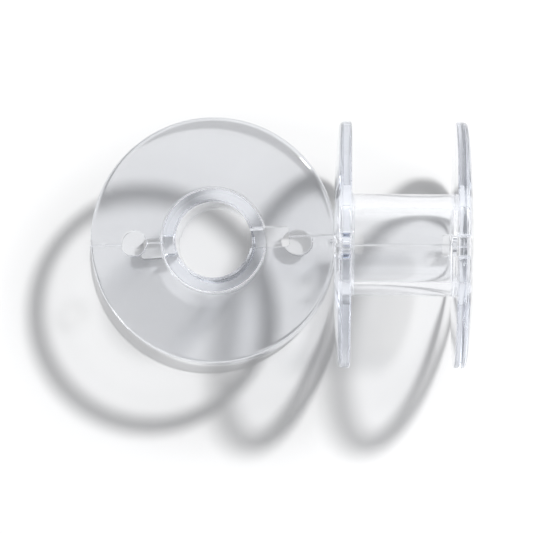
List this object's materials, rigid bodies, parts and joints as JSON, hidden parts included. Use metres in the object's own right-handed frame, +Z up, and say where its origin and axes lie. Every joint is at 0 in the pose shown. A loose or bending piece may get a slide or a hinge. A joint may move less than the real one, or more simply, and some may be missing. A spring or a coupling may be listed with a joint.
{
  "type": "sewing machine bobbins",
  "caption": "Pair of empty clear plastic sewing-machine bobbins with domed flanges, drive slots and thread holes: one lies flat, one stands on its rims and rolls.",
  "frame": {"origin": "on the surface that the pair rests on, below the middle of the pair's bounding box", "axes": "+Z up, along the lying bobbin's axis; +X from the lying bobbin to the standing one and along the standing bobbin's axis"},
  "size_m": [0.0317, 0.0208, 0.0205],
  "materials": {
    "clear_plastic": "clear water-white moulded polystyrene, high gloss, see-through"
  },
  "bodies": {
    "lying_bobbin": {"lying_bobbin": "clear_plastic"},
    "standing_bobbin": {"standing_bobbin": "clear_plastic"}
  },
  "joints": [
    {"name": "standing_bobbin_roll", "type": "hinge", "parent": "lying_bobbin", "child": "standing_bobbin", "pos_m": [0.01015, -0.00013, 0.01025], "axis": [1, 0, 0], "continuous": true}
  ]
}
